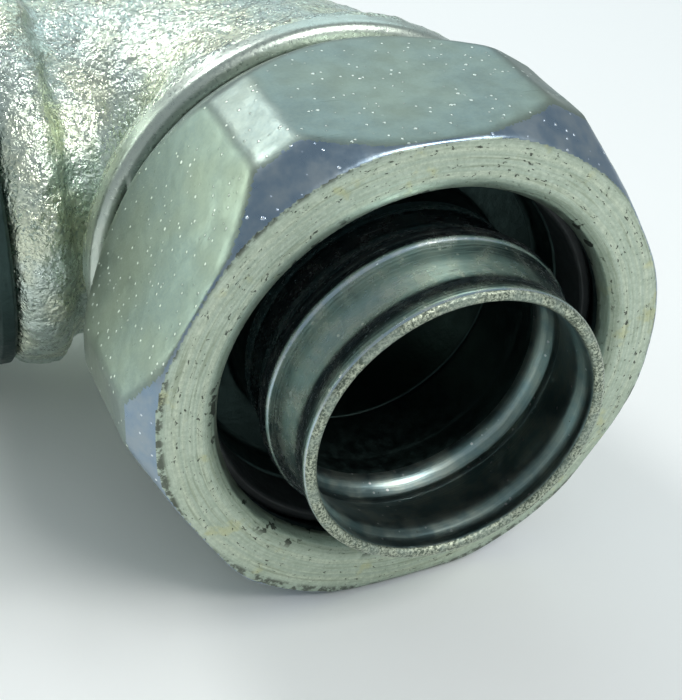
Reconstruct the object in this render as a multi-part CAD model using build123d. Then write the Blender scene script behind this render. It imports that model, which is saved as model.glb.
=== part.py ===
from build123d import *
import os
from math import cos, pi, radians, sin, sqrt

# Liquid-tight conduit connector, ninety degree elbow, for 1 inch flexible conduit.
# Origin: hub axis, in the plane of the flange face that seats against the box wall.
# The hub points along -X, the gland that takes the conduit points along -Y, and +Z is up.
# "Station" is the distance from the hub axis towards the gland's mouth, so y = -station.

# ---- driving dimensions, millimetres ----
CONDUIT_R = 16.6          # outside radius of the conduit jacket
RACEWAY_R = 12.6          # wire passage at the hub end of the bend
RACEWAY_END_R = 12.8      # wire passage through the two straight ends
CHAMBER_R = 15.0          # wire passage at the gland end of the bend

SEAT_TO_CONDUIT_AXIS = 28.0
BEND_R = 18.5             # centre line radius of the elbow
TUBE_R = 17.3             # outside radius of the cast elbow at its hub end
SHOULDER_R = 20.6         # outside radius of the cast elbow at its gland end
OVERLAP = 0.4             # the flange and collar start this deep inside the elbow's wall

FLANGE_R = 20.0           # hub flange, at its inner edge
FLANGE_SEAT_R = 19.2      # hub flange, at the seating face
FLANGE_THICK = 5.5
FLANGE_CHAMFER = 1.0
HUB_LENGTH = 18.0
HUB_R = 16.5              # crest radius of the straight pipe thread
HUB_PITCH = 25.4 / 11.5

COLLAR_R = 22.4           # machined stop collar behind the gland nut
COLLAR_BACK = 20.6        # station of the collar's back face
COLLAR_FRONT = 24.2       # station of the collar's front face
GLAND_THREAD_R = 19.95
GLAND_PITCH = 1.5
GLAND_END = 36.8          # station of the casting's open end
CUP_R = 17.95             # counterbore that the ferrule sits in
CUP_FLOOR = 33.0          # station of the counterbore's floor

THREAD_DEPTH = 0.6        # thread shape, as shares of the pitch
THREAD_LAND = 0.16
THREAD_FLANK = 0.34

NUT_FLATS = 44.5          # across flats at the front
NUT_CORNER_R = 24.56      # distance from the axis to each narrow corner flat
NUT_DRAFT = 1.2           # cast draft, degrees, widening towards the back
NUT_BACK = 24.8
NUT_FRONT = 46.0
NUT_FACE_R = 22.55        # circle where the front corner chamfer starts
NUT_CORNER_DROP = 2.95    # how far back the chamfer meets the corner flats
NUT_SKIRT_R = 21.2        # the back cone starts at this radius on the back face
NUT_SKIRT_STATION = 32.0  # where the back cone meets the corner flats
NUT_MOUTH_R = 17.4
NUT_BORE_R = 20.05        # clears the crests of the gland thread
NUT_CONE_STATION = 37.9   # where the bore starts to narrow over the sealing ring

RIM_STATION = 52.8        # front edge of the ferrule
SHEET = 0.9               # thickness of the ferrule's sheet steel
CUP_PLAY = 0.05           # gap between the ferrule's cup and the counterbore
RING_FRONT = 42.3         # front station of the sealing ring
RING_GAP_DEG = 9.0        # opening of the split sealing ring

GASKET_THICK = 2.4
GASKET_R = 18.1           # outside radius of the rubber ring
RETAINER_R = 19.0         # outside radius of the steel ring round it
WALL_GAP = 3.0            # space left for the box wall between the gasket and the locknut
LOCKNUT_THICK = 4.2
LOCKNUT_R = 19.4
LUG_R = 22.0
LUG_WIDTH = 5.6
LUG_COUNT = 8
LINER_R = 12.3            # bore of the insulating throat
LINER_SEAT_R = 13.4       # step in the hub that holds the throat
LINER_DEPTH = 5.9         # how far the throat reaches into the hub

CONDUIT_AXIS = Axis((SEAT_TO_CONDUIT_AXIS, 0, 0), (0, 1, 0))
HUB_AXIS = Axis((0, 0, 0), (1, 0, 0))


def gland_lathe(outline):
    """Turn an outline of (radius, station) points about the conduit axis."""
    points = [(SEAT_TO_CONDUIT_AXIS + radius, -station) for radius, station in outline]
    return revolve(make_face(Polyline(points, close=True)), CONDUIT_AXIS, 360)


def hub_lathe(outline):
    """Turn an outline of (x, radius) points about the hub axis."""
    return revolve(make_face(Polyline(outline, close=True)), HUB_AXIS, 360)


def thread_outline(start, end, pitch, crest):
    """Crests and roots of a ring-form thread, as (position, radius) points from start to end."""
    root = crest - THREAD_DEPTH * pitch
    land = THREAD_LAND * pitch
    valley = (THREAD_LAND + THREAD_FLANK) * pitch
    points = []
    for turn in range(int((end - start) / pitch)):
        position = start + turn * pitch
        points += [(position, crest), (position + land, crest)]
        points += [(position + valley, root), (position + valley + land, root)]
    last = start + int((end - start) / pitch) * pitch
    return points + [(last, crest), (last + land, crest)]


def hub_stub():
    """Flange, threaded hub and its chamfered end."""
    root = HUB_R - THREAD_DEPTH * HUB_PITCH
    lead = 1.2
    thread = [(-p, r) for p, r in thread_outline(0, HUB_LENGTH - lead, HUB_PITCH, HUB_R)]
    inner_end = FLANGE_THICK + 3.0
    inside_tube = TUBE_R - OVERLAP
    outline = [(inner_end, 0), (inner_end, inside_tube), (FLANGE_THICK, inside_tube)]
    outline += [(FLANGE_THICK, FLANGE_R - FLANGE_CHAMFER), (FLANGE_THICK - FLANGE_CHAMFER, FLANGE_R)]
    outline += [(0.9, FLANGE_SEAT_R + 0.2), (0, FLANGE_SEAT_R - 0.5)]
    outline += thread + [(-HUB_LENGTH, root - 0.1), (-HUB_LENGTH, 0)]
    return hub_lathe(outline)


def gland_stub():
    """Stop collar and the threaded spigot that the gland nut screws on."""
    root = GLAND_THREAD_R - THREAD_DEPTH * GLAND_PITCH
    relief = 1.3
    thread_start = COLLAR_FRONT + relief
    thread_end = GLAND_END - 0.7
    thread = [(r, p) for p, r in thread_outline(thread_start, thread_end, GLAND_PITCH, GLAND_THREAD_R)]
    inner_end = COLLAR_BACK - 1.0
    inside_tube = SHOULDER_R - OVERLAP
    outline = [(0, inner_end), (inside_tube, inner_end), (SHOULDER_R + 0.5, COLLAR_BACK)]
    outline += [(COLLAR_R - 0.3, COLLAR_BACK + 0.7), (COLLAR_R, COLLAR_BACK + 1.4)]
    outline += [(COLLAR_R, COLLAR_FRONT - 1.0), (COLLAR_R - 0.7, COLLAR_FRONT)]
    outline += [(root, COLLAR_FRONT), (root, thread_start)]
    outline += thread + [(root, GLAND_END), (0, GLAND_END)]
    return gland_lathe(outline)


def bend_path():
    """Centre line of the elbow, from the gland end round to the hub end."""
    a = SEAT_TO_CONDUIT_AXIS
    gland_run = Line((a, -COLLAR_BACK, 0), (a, -BEND_R, 0))
    middle = (a - BEND_R * (1 - cos(pi / 4)), -BEND_R * (1 - sin(pi / 4)), 0)
    bend = ThreePointArc((a, -BEND_R, 0), middle, (a - BEND_R, 0, 0))
    hub_run = Line((a - BEND_R, 0, 0), (FLANGE_THICK, 0, 0))
    return gland_run + bend + hub_run


def bent_tube(gland_r, hub_r):
    """Round tube along the elbow's centre line, wider at its gland end."""
    gland_end = Plane(origin=(SEAT_TO_CONDUIT_AXIS, -COLLAR_BACK, 0), z_dir=(0, 1, 0))
    hub_end = Plane(origin=(FLANGE_THICK, 0, 0), z_dir=(-1, 0, 0))
    return sweep([gland_end * Circle(gland_r), hub_end * Circle(hub_r)], path=bend_path(), multisection=True)


def raceway():
    """Everything hollow in the casting: the bend, the ferrule's counterbore and the throat's step."""
    past = 1.0
    funnel = 0.4
    back = COLLAR_BACK - past
    gland_side = [(0, back), (RACEWAY_END_R, back), (RACEWAY_END_R, CUP_FLOOR), (CUP_R, CUP_FLOOR)]
    gland_side += [(CUP_R, GLAND_END - funnel), (CUP_R + funnel, GLAND_END + past), (0, GLAND_END + past)]
    inner = FLANGE_THICK + past
    step = LINER_DEPTH + 0.1 - HUB_LENGTH
    hub_side = [(inner, 0), (inner, RACEWAY_END_R), (step, RACEWAY_END_R), (step, LINER_SEAT_R)]
    hub_side += [(-HUB_LENGTH - past, LINER_SEAT_R), (-HUB_LENGTH - past, 0)]
    return bent_tube(CHAMBER_R, RACEWAY_R) + gland_lathe(gland_side) + hub_lathe(hub_side)


def elbow_body():
    """The casting: elbow, stop collar, threaded spigot, hub flange and threaded hub."""
    return bent_tube(SHOULDER_R, TUBE_R) + gland_stub() + hub_stub() - raceway()


def hex_prism(flats, length):
    """Hexagon with two flats level, its corners cut back to narrow flats, along -Y."""
    apothem = flats / 2
    half_flat = 2 * NUT_CORNER_R - sqrt(3) * apothem
    points = []
    for side in range(6):
        normal = radians(90 + 60 * side)
        for edge in (-half_flat, half_flat):
            x = apothem * cos(normal) - edge * sin(normal)
            points.append((x, apothem * sin(normal) + edge * cos(normal)))
    front = Plane(origin=(SEAT_TO_CONDUIT_AXIS, -NUT_FRONT, 0), x_dir=(1, 0, 0), z_dir=(0, 1, 0))
    return extrude(front * make_face(Polyline(points, close=True)), length, taper=-NUT_DRAFT)


def nut_envelope():
    """Cones that chamfer the nut's corners, front and back."""
    clear_r = NUT_CORNER_R + 2.0
    cone_start = NUT_FRONT - NUT_CORNER_DROP
    cone_end = cone_start - 2.8
    outline = [(0, NUT_FRONT), (NUT_FACE_R, NUT_FRONT), (NUT_CORNER_R + 0.1, cone_start)]
    outline += [(clear_r, cone_end), (clear_r, NUT_SKIRT_STATION + 3.2)]
    outline += [(NUT_CORNER_R + 0.3, NUT_SKIRT_STATION)]
    outline += [(NUT_SKIRT_R, NUT_BACK), (0, NUT_BACK)]
    return gland_lathe(outline)


def nut_bore():
    """Rounded mouth, the cone that squeezes the sealing ring, and the threaded length."""
    mouth = NUT_MOUTH_R
    past = 1.0
    outline = [(0, NUT_FRONT + past), (mouth + 1.9, NUT_FRONT + past), (mouth + 1.2, NUT_FRONT)]
    outline += [(mouth + 0.5, NUT_FRONT - 0.45), (mouth, NUT_FRONT - 1.6), (mouth + 0.1, NUT_FRONT - 2.6)]
    outline += [(mouth + 0.75, NUT_FRONT - 3.2), (NUT_BORE_R, NUT_CONE_STATION)]
    outline += [(NUT_BORE_R, NUT_BACK + 0.6), (NUT_BORE_R + 0.7, NUT_BACK - past), (0, NUT_BACK - past)]
    return gland_lathe(outline)


def gland_nut():
    return (hex_prism(NUT_FLATS, NUT_FRONT - NUT_BACK) & nut_envelope()) - nut_bore()


def sleeve_outline():
    """Outside of the ferrule's sleeve from its neck inwards, with two rolled beads."""
    front = RIM_STATION
    return [(12.95, front - 2.2), (12.85, front - 3.0), (13.0, front - 3.9), (13.5, front - 5.0),
            (13.8, front - 6.0), (13.85, front - 6.8), (13.7, front - 7.7), (13.25, front - 8.7),
            (13.05, front - 9.6), (13.05, front - 10.6), (13.3, front - 11.6), (13.45, front - 12.4),
            (13.3, front - 13.2), (13.05, front - 14.2)]


def ferrule():
    """Rolled sheet sleeve with a curled rim, and the cup at its root that takes the conduit's end."""
    floor = CUP_FLOOR + CUP_PLAY
    skirt_r = CUP_R - 0.08
    skirt_top = GLAND_END + 0.7
    bend = 0.6
    rim = [(13.14, RIM_STATION), (13.3, RIM_STATION - 0.6), (13.3, RIM_STATION - 1.3)]
    rim_inside = [(12.1, RIM_STATION - 1.3), (11.85, RIM_STATION - 0.5), (11.85, RIM_STATION)]
    root_r = sleeve_outline()[-1][0]
    cup = [(root_r, floor + SHEET + bend), (root_r + bend, floor + SHEET), (skirt_r - SHEET, floor + SHEET)]
    cup += [(skirt_r - SHEET, skirt_top), (skirt_r, skirt_top)]
    cup += [(skirt_r, floor + 0.5), (skirt_r - 0.5, floor)]
    cup += [(root_r - SHEET + bend, floor), (root_r - SHEET, floor + bend)]
    inside = [(radius - SHEET, station) for radius, station in sleeve_outline()]
    return gland_lathe(rim + sleeve_outline() + cup + inside[::-1] + rim_inside)


def sealing_ring():
    """Split tapered ring that the nut's cone squeezes down on the conduit jacket."""
    back = GLAND_END + 1.0
    inner = CONDUIT_R + 0.35
    outer = NUT_BORE_R - 0.35
    outline = [(inner, back), (outer, back), (outer, back + 0.6)]
    outline += [(NUT_MOUTH_R + 0.68, RING_FRONT - 0.3), (NUT_MOUTH_R + 0.3, RING_FRONT)]
    outline += [(inner + 0.2, RING_FRONT), (inner, RING_FRONT - 0.3)]
    width = 2 * CONDUIT_R * sin(radians(RING_GAP_DEG / 2))
    beside_axis = 2.0
    middle = (SEAT_TO_CONDUIT_AXIS + beside_axis, -(back + RING_FRONT) / 2, CONDUIT_R + 1.0)
    return gland_lathe(outline) - Pos(*middle) * Box(width, 12, 14)


def throat_liner():
    """Insulating throat pressed into the hub's mouth, with a rounded lip over its end."""
    end = -HUB_LENGTH
    outline = [(end + LINER_DEPTH, LINER_R), (end + LINER_DEPTH, LINER_SEAT_R), (end, LINER_SEAT_R)]
    outline += [(end, 14.6), (end - 0.5, 15.1), (end - 1.2, 15.1), (end - 1.7, 14.6), (end - 1.9, 13.8)]
    outline += [(end - 1.6, 12.9), (end - 0.8, LINER_R)]
    return hub_lathe(outline)


def hub_gasket():
    """Flat rubber ring on the flange's seating face."""
    inner = HUB_R + 0.2
    back = -GASKET_THICK
    bevel = 0.25
    outline = [(0, inner), (0, GASKET_R), (back + bevel, GASKET_R), (back, GASKET_R - bevel)]
    outline += [(back, inner + bevel), (back + bevel, inner)]
    return hub_lathe(outline)


def gasket_retainer():
    """Steel ring that keeps the gasket from spreading."""
    inner = GASKET_R + 0.05
    back = -GASKET_THICK + 0.6
    bevel = 0.3
    outline = [(-0.05, inner), (-0.05, RETAINER_R - bevel), (-0.05 - bevel, RETAINER_R)]
    outline += [(back + bevel, RETAINER_R), (back, RETAINER_R - bevel), (back, inner)]
    return hub_lathe(outline)


def locknut():
    """Steel locknut with driving lugs round its edge."""
    near = -GASKET_THICK - WALL_GAP
    far = near - LOCKNUT_THICK
    bore = HUB_R + 0.07
    outline = [(near, bore + 0.3), (near - 0.3, bore), (far + 0.3, bore), (far, bore + 0.3)]
    outline += [(far, LOCKNUT_R - 1.0), (far + 1.0, LOCKNUT_R)]
    outline += [(near - 0.8, LOCKNUT_R), (near, LOCKNUT_R - 0.6)]
    nut = hub_lathe(outline)
    lug_root = LOCKNUT_R - 0.8
    place = Pos((near + far) / 2 - 0.2, 0, (lug_root + LUG_R) / 2)
    blank = Box(LOCKNUT_THICK - 1.2, LUG_WIDTH, LUG_R - lug_root)
    lug = chamfer(blank.edges().filter_by(Axis.X).group_by(Axis.Z)[-1], 0.8)
    for number in range(LUG_COUNT):
        nut += Rot(360 / LUG_COUNT * (number + 0.5), 0, 0) * (place * lug)
    return nut


PIECES = (elbow_body, gland_nut, ferrule, sealing_ring, throat_liner, hub_gasket, gasket_retainer, locknut)

os.makedirs("parts", exist_ok=True)
for make in PIECES:
    solid = make()
    solid.label = make.__name__
    export_step(solid, f"parts/{make.__name__}.step")
    print(make.__name__, round(solid.volume), solid.bounding_box().size)
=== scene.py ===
import math

import bpy
import numpy as np
from mathutils import Matrix, Vector


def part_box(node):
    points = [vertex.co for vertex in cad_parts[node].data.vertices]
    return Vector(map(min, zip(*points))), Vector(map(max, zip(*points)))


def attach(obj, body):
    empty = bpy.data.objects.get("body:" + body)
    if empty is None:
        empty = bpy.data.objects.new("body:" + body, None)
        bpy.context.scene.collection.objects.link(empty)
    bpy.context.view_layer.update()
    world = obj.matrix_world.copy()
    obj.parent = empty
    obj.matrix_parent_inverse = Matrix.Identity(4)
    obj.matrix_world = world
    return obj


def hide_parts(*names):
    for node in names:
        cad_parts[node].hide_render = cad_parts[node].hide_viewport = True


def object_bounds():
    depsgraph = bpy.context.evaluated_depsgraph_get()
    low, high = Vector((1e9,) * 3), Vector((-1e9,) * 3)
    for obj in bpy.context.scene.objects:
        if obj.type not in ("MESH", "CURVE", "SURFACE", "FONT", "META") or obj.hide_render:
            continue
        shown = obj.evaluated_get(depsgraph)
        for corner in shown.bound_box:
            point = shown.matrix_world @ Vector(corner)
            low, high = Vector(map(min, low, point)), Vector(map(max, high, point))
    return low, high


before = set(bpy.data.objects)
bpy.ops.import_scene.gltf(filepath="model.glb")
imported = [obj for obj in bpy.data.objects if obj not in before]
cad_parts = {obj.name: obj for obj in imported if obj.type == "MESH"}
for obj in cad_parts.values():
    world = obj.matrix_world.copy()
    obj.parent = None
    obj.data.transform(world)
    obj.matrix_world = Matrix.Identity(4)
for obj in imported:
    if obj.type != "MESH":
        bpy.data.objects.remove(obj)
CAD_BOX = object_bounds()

bl_info = {
    "name": "Conduit Elbow Connector",
    "version": (1, 0, 0),
    "blender": (4, 5, 0),
    "location": "3D View > Sidebar > Conduit",
    "description": "Builds a liquid-tight conduit elbow connector, piece by piece, round its packed frame",
    "category": "Add Mesh",
}

MM = 0.001


# ---------------------------------------------------------------- places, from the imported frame

def reach(node, axis):
    """Lowest and highest place of a node along one axis, in millimetres."""
    low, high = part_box(node)
    return low[axis] / MM, high[axis] / MM


GLAND_X = sum(reach("ferrule", 0)) / 2
NUT_FRONT, NUT_BACK = (-y for y in reach("gland_nut", 1))
RIM_FRONT, CUP_BACK = (-y for y in reach("ferrule", 1))
RING_FRONT, RING_BACK = (-y for y in reach("sealing_ring", 1))
SPIGOT_END = -reach("elbow_body", 1)[0]
HUB_END = -reach("elbow_body", 0)[0]
GASKET_BACK = -reach("hub_gasket", 0)[0]
LOCKNUT_FAR, LOCKNUT_NEAR = (-x for x in reach("locknut", 0))
FLOOR_Z = CAD_BOX[0].z / MM
COLLAR_GAP = 0.6
COLLAR_THICK = 3.6
RACEWAY_END = 12.8
LINER_SEAT = 13.45
CUP_FLOOR = 33.0
CUP_WALL = 17.95
SKIRT_RADIUS = 17.87
SKIRT_TOP = 37.45
NUT_DRAFT = math.radians(1.2)
CHAMFER_SLOPE = (2.05, 2.95)
BACK_CONE_SLOPE = (3.85, 7.2)
CHAMFER_SHIFT = (0.23, 0.33)
LOCKNUT_BORE = 16.58


def to_gland(radius, angle, station):
    """Points round the conduit axis; station is the distance from the hub axis towards the mouth."""
    return np.stack([GLAND_X + radius * np.cos(angle), -station, radius * np.sin(angle)], -1)


def to_hub(radius, angle, depth):
    """Points round the hub axis; depth is the distance out of the seating plane."""
    return np.stack([-depth, radius * np.cos(angle), radius * np.sin(angle)], -1)


def round_gland(centre, normal):
    """Distance from the conduit axis, station, and outward lean of faces."""
    radius = np.hypot(centre[:, 0] - GLAND_X, centre[:, 2])
    outward = ((centre[:, 0] - GLAND_X) * normal[:, 0] + centre[:, 2] * normal[:, 2]) / radius
    return radius, -centre[:, 1], outward


# ---------------------------------------------------------------- settings

def length(name, description, default):
    return bpy.props.FloatProperty(name=name, description=description, default=default * MM,
                                   min=0.0, precision=5, unit="LENGTH", subtype="DISTANCE")


def colour(name, description, default):
    return bpy.props.FloatVectorProperty(name=name, description=description, default=default,
                                         size=3, min=0.0, max=1.0, subtype="COLOR")


class FittingSizes(bpy.types.PropertyGroup):
    """Sizes that shape the visible pieces."""

    tube_radius: length("Elbow radius", "Outside radius of the cast elbow at the hub", 17.3)
    shoulder_radius: length("Shoulder radius", "Outside radius of the cast elbow at the gland", 20.6)
    bend_radius: length("Bend radius", "Centre line radius of the elbow", 18.5)
    raceway_radius: length("Raceway radius", "Radius of the wire passage in the casting", 12.75)
    chamber_radius: length("Chamber radius", "Radius of the wire passage at its widest, in the bend", 15.0)
    collar_radius: length("Collar radius", "Radius of the stop collar behind the gland nut", 22.4)
    flange_radius: length("Flange radius", "Radius of the hub flange at its inner edge", 20.0)
    flange_thickness: length("Flange thickness", "Thickness of the hub flange", 5.5)
    across_flats: length("Nut across flats", "Size of the gland nut across its flats", 44.5)
    corner_radius: length("Nut corner flats", "Distance from the axis to each narrow corner flat", 24.56)
    face_radius: length("Nut face radius", "Circle where the nut's corner chamfer starts", 22.55)
    skirt_radius: length("Nut skirt radius", "Radius of the nut's back cone on its back face", 21.2)
    mouth_radius: length("Mouth radius", "Narrowest radius of the nut's mouth", 17.4)
    sheet: length("Ferrule sheet", "Thickness of the ferrule's sheet steel", 0.9)
    hub_crest: length("Hub thread radius", "Crest radius of the hub thread", 16.5)
    hub_pitch: length("Hub thread pitch", "Pitch of the hub thread", 25.4 / 11.5)
    gland_crest: length("Gland thread radius", "Crest radius of the gland spigot's thread", 19.95)
    gland_pitch: length("Gland thread pitch", "Pitch of the gland spigot's thread", 1.5)
    locknut_radius: length("Locknut radius", "Radius of the locknut between its lugs", 19.4)
    lug_radius: length("Lug radius", "Radius of the locknut over its lugs", 22.0)


class FittingFinish(bpy.types.PropertyGroup):
    """Colours and wear of the finishes."""

    casting: colour("Casting", "Zinc plate on the sand casting", (0.70, 0.75, 0.66))
    nut_flat: colour("Nut flats", "Zinc plate on the nut's flats", (0.26, 0.31, 0.272))
    # Nut corners: the blue tint is a painted reflection of blue surroundings.
    chamfer: colour("Nut corners", "Zinc plate on the turned slopes of the nut's corners", (0.30, 0.37, 0.43))
    turned: colour("Turned face", "Turned front face of the nut", (0.60, 0.66, 0.56))
    bright: colour("Bright steel", "Zinc plate on threads, locknut and cut edges", (0.60, 0.65, 0.61))
    sheet: colour("Ferrule", "Zinc plate on the outside of the ferrule", (0.60, 0.66, 0.68))
    # Inside of the ferrule: a darker copy of the sheet colour, painted shade.
    sheet_inside: colour("Ferrule inside", "Zinc plate inside the ferrule", (0.50, 0.58, 0.56))
    # Bores and hollows: a dark colour that is painted shade, not the plate's own colour.
    shadow: colour("Dull bore", "Dull plate inside the mouth and the raceway", (0.050, 0.078, 0.075))
    plastic: colour("Dark plastic", "Moulded sealing ring and throat", (0.018, 0.022, 0.022))
    rubber: colour("Rubber", "Sealing gasket", (0.02, 0.02, 0.021))
    wear: bpy.props.FloatProperty(name="Wear", description="Strength of pits, stains and scratches",
                                  default=1.0, min=0.0, max=1.0, subtype="FACTOR")


def sizes():
    """The sizes in millimetres, by name."""
    group = bpy.context.scene.fitting_sizes
    return {name: getattr(group, name) / MM for name in FittingSizes.__annotations__}


def finishes():
    """The colours and the wear."""
    return bpy.context.scene.fitting_finish


# ---------------------------------------------------------------- shapes

def ripple(points, wavelength, seed, waves=20):
    """Smooth seeded noise of about unit height: a sum of waves in random directions."""
    rng = np.random.default_rng(seed)
    total = np.zeros(points.shape[:-1])
    for _ in range(waves):
        direction = rng.normal(size=3)
        direction *= 2 * math.pi / wavelength * rng.uniform(0.7, 1.4) / np.linalg.norm(direction)
        total += np.sin(points @ direction + rng.uniform(0, 2 * math.pi))
    return total / math.sqrt(waves / 2)


def soft_min(a, b, radius):
    """The lower of two distances, rounded where they meet."""
    share = np.clip(0.5 + 0.5 * (b - a) / radius, 0, 1)
    return b + (a - b) * share - radius * share * (1 - share)


def soft_max(a, b, radius):
    """The higher of two distances, rounded where they meet."""
    return -soft_min(-a, -b, radius)


def disc(radial, along, radius, low, high, edge):
    """Distance to a disc with rounded edges."""
    out = radial - radius + edge
    over = np.abs(along - (low + high) / 2) - (high - low) / 2 + edge
    inside = np.minimum(np.maximum(out, over), 0)
    return inside + np.hypot(np.maximum(out, 0), np.maximum(over, 0)) - edge


def cone(outside, along, fall, run):
    """Distance to a cone whose radius falls by fall over a run along its axis."""
    return (outside * run + along * fall) / math.hypot(fall, run)


def surface_net(field, low, high, step):
    """Closed quad mesh where field is zero, with one vertex in each grid cell that it crosses."""
    low = np.array(low, float) - 1.5 * step
    shape = [int(math.ceil((h + 1.5 * step - l) / step)) + 1 for l, h in zip(low, high)]
    axes = [l + step * np.arange(n) for l, n in zip(low, shape)]
    value = np.empty(shape)
    for i, x in enumerate(axes[0]):
        y, z = np.meshgrid(axes[1], axes[2], indexing="ij")
        value[i] = field(np.stack([np.full_like(y, x), y, z], -1))
    cells = np.array(shape) - 1
    count = int(np.prod(cells))
    hits, total, quads = np.zeros(count), np.zeros((3, count)), []
    for axis in range(3):
        first = np.moveaxis(value, axis, 0)[:-1]
        second = np.moveaxis(value, axis, 0)[1:]
        crossed = np.moveaxis((first < 0) != (second < 0), 0, axis)
        start = np.moveaxis(first, 0, axis)[crossed]
        end = np.moveaxis(second, 0, axis)[crossed]
        corner = np.argwhere(crossed)
        point = corner.astype(float)
        point[:, axis] += start / (start - end)
        u, v = (axis + 1) % 3, (axis + 2) % 3
        ring = []
        for du, dv in ((0, 0), (1, 0), (1, 1), (0, 1)):
            cell = corner.copy()
            cell[:, u] -= du
            cell[:, v] -= dv
            flat = np.ravel_multi_index(cell.T, cells)
            hits += np.bincount(flat, minlength=count)
            for k in range(3):
                total[k] += np.bincount(flat, weights=point[:, k], minlength=count)
            ring.append(flat)
        ring = np.stack(ring, 1)
        ring[start > 0] = ring[start > 0][:, ::-1]
        quads.append(ring)
    used = np.flatnonzero(hits)
    number = np.full(count, -1)
    number[used] = np.arange(len(used))
    points = low + step * (total[:, used] / hits[used]).T
    return settle(field, points, 0.45 * step), number[np.concatenate(quads)]


def settle(field, points, limit, rounds=3, probe=0.02):
    """Draw points onto the surface where field is zero."""
    for _ in range(rounds):
        slope = np.stack([field(points + shift) - field(points - shift) for shift in probe * np.eye(3)], -1)
        slope /= 2 * probe
        move = field(points)[:, None] * slope / np.maximum((slope ** 2).sum(1, keepdims=True), 0.05)
        size = np.linalg.norm(move, axis=1, keepdims=True)
        points = points - move * np.minimum(1, limit / np.maximum(size, 1e-9))
    return points


def rounded(corners, steps=6, spacing=0.7):
    """Closed outline from (radius, place, fillet) corners, with long runs divided."""
    outline = []
    for i, (radius, place, fillet) in enumerate(corners):
        here = np.array((radius, place), float)
        back = np.array(corners[i - 1][:2], float) - here
        on = np.array(corners[(i + 1) % len(corners)][:2], float) - here
        back_length, on_length = np.linalg.norm(back), np.linalg.norm(on)
        back, on = back / back_length, on / on_length
        half = math.acos(max(-1.0, min(1.0, float(back @ on)))) / 2
        cut = min(fillet / math.tan(half), 0.45 * back_length, 0.45 * on_length) if fillet else 0.0
        t = np.linspace(0, 1, steps if cut > 1e-4 else 1)[:, None]
        arc = (1 - t) ** 2 * (here + back * cut) + 2 * t * (1 - t) * here + t ** 2 * (here + on * cut)
        outline.append(arc)
    runs = []
    for i, arc in enumerate(outline):
        start, end = arc[-1], outline[(i + 1) % len(outline)][0]
        parts = max(1, int(np.linalg.norm(end - start) / spacing))
        runs += [arc, start + (end - start) * (np.arange(1, parts) / parts)[:, None]]
    return np.concatenate(runs)


def smooth_line(points, steps=6):
    """Catmull-Rom line through points."""
    p = np.array(points, float)
    p = np.concatenate([[2 * p[0] - p[1]], p, [2 * p[-1] - p[-2]]])
    t = np.linspace(0, 1, steps, endpoint=False)[:, None]
    runs = []
    for a, b, c, d in zip(p, p[1:], p[2:], p[3:]):
        runs.append(0.5 * (2 * b + (c - a) * t + (2 * a - 5 * b + 4 * c - d) * t ** 2
                           + (3 * b - a - 3 * c + d) * t ** 3))
    return np.concatenate(runs + [p[-2:-1]])


def ring_quads(rows, columns):
    """Quads of a grid of rows by columns that closes both ways."""
    r, c = np.meshgrid(np.arange(rows), np.arange(columns), indexing="ij")
    r2, c2 = (r + 1) % rows, (c + 1) % columns
    quads = np.stack([r * columns + c, r * columns + c2, r2 * columns + c2, r2 * columns + c], -1)
    return quads.reshape(-1, 4)


def turn(outline, place, segments=256, shape=None, spans=None):
    """Turn a closed outline about an axis. shape(outline, angle) may bend it; spans limits the angles."""
    if spans is None:
        angles = np.linspace(0, 2 * math.pi, segments, endpoint=False)
    else:
        angles = np.linspace(spans[0], spans[1], segments)
    radius = np.repeat(outline[:, :1], len(angles), 1)
    along = np.repeat(outline[:, 1:], len(angles), 1)
    angle = np.repeat(angles[None], len(outline), 0)
    if shape:
        radius, along = shape(radius, angle, along)
    points = place(radius, angle, along).reshape(-1, 3)
    quads = ring_quads(len(outline), len(angles))
    if spans is not None:
        quads = quads[(np.arange(len(quads)) % len(angles)) != len(angles) - 1]
    return points, quads


# ---------------------------------------------------------------- pieces

def facing_out(mesh):
    """Turn the faces outwards, by the sign of the volume that they enclose."""
    count = len(mesh.polygons)
    centre, normal, area = np.empty(count * 3), np.empty(count * 3), np.empty(count)
    mesh.polygons.foreach_get("center", centre)
    mesh.polygons.foreach_get("normal", normal)
    mesh.polygons.foreach_get("area", area)
    if (centre * normal).reshape(-1, 3).sum(1) @ area < 0:
        mesh.flip_normals()


def make_piece(name, points, quads, body, nodes, materials, index=None):
    """Mesh object from points in millimetres. index gives each face's material, by (centre, normal)."""
    points = np.clip(points, *(np.array(corner) / MM for corner in CAD_BOX))
    mesh = bpy.data.meshes.new(name)
    mesh.vertices.add(len(points))
    mesh.vertices.foreach_set("co", (np.asarray(points) * MM).astype(np.float32).ravel())
    mesh.loops.add(len(quads) * 4)
    mesh.loops.foreach_set("vertex_index", np.ascontiguousarray(quads, np.int32).ravel())
    mesh.polygons.add(len(quads))
    mesh.polygons.foreach_set("loop_start", np.arange(0, 4 * len(quads), 4, dtype=np.int32))
    mesh.update(calc_edges=True)
    mesh.validate()
    if not mesh.polygons:
        raise RuntimeError(name + " came out empty")
    facing_out(mesh)
    mesh.polygons.foreach_set("use_smooth", np.ones(len(mesh.polygons), bool))
    for material in materials:
        mesh.materials.append(material)
    if index:
        centre, normal = np.empty(len(mesh.polygons) * 3), np.empty(len(mesh.polygons) * 3)
        mesh.polygons.foreach_get("center", centre)
        mesh.polygons.foreach_get("normal", normal)
        chosen = index(centre.reshape(-1, 3) / MM, normal.reshape(-1, 3)).astype(np.int32)
        mesh.polygons.foreach_set("material_index", chosen)
    mesh.update()
    piece = bpy.data.objects.new(name, mesh)
    bpy.context.scene.collection.objects.link(piece)
    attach(piece, body)
    if nodes:
        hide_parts(*nodes)
    return piece


# ---------------------------------------------------------------- finishes

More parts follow.
